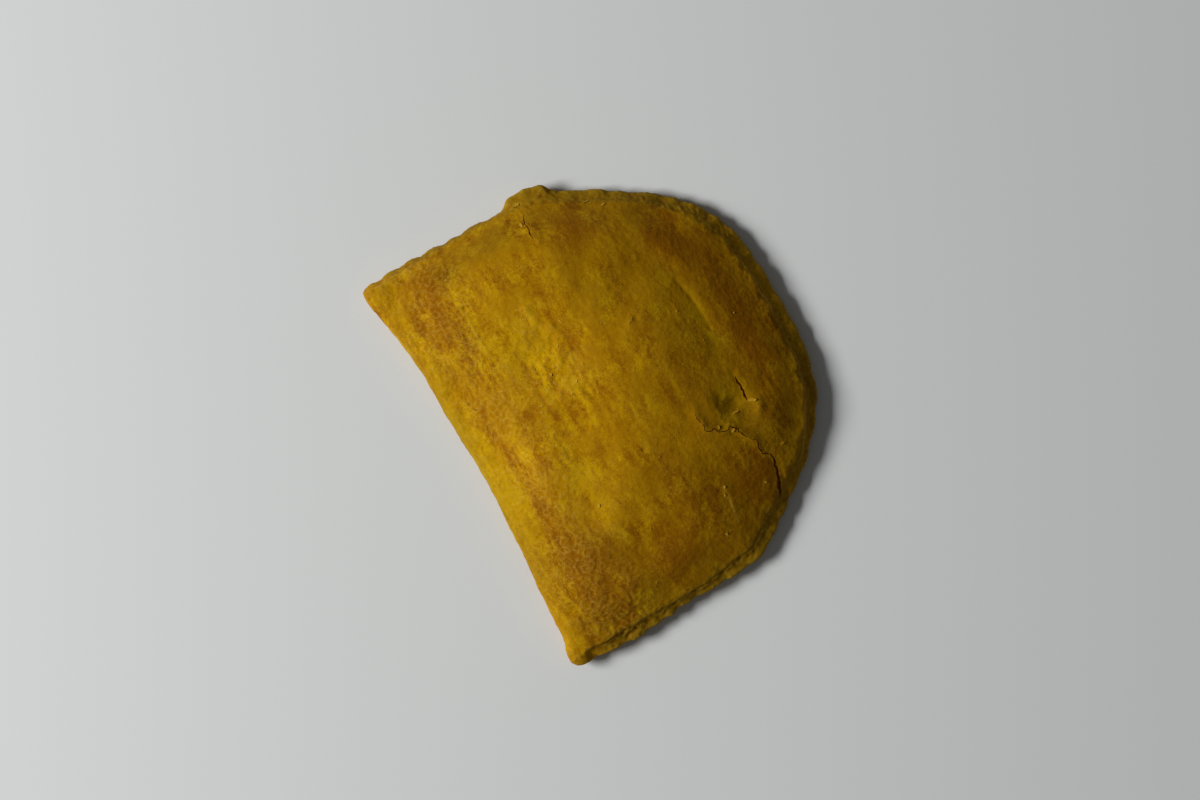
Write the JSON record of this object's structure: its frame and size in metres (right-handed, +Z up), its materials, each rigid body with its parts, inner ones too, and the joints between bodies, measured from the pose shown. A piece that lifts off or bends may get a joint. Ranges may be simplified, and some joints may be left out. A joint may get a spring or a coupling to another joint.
{
  "type": "jamaican patty",
  "caption": "Baked half-moon turnover of flaky yellow pastry with a rolled fold along one edge, a crimped rim round the other and a cracked, browned lid.",
  "frame": {"origin": "bottom centre of the patty's box, on the surface that it lies on", "axes": "+X along the fold, +Y from the fold to the top of the arched rim, +Z up out of the lid"},
  "size_m": [0.1446, 0.1178, 0.0233],
  "materials": {
    "crust": "baked flaky pastry tinted yellow, matte with a faint grease sheen, browned in bands along the fold"
  },
  "bodies": {
    "root": {"patty": "crust"}
  },
  "joints": []
}
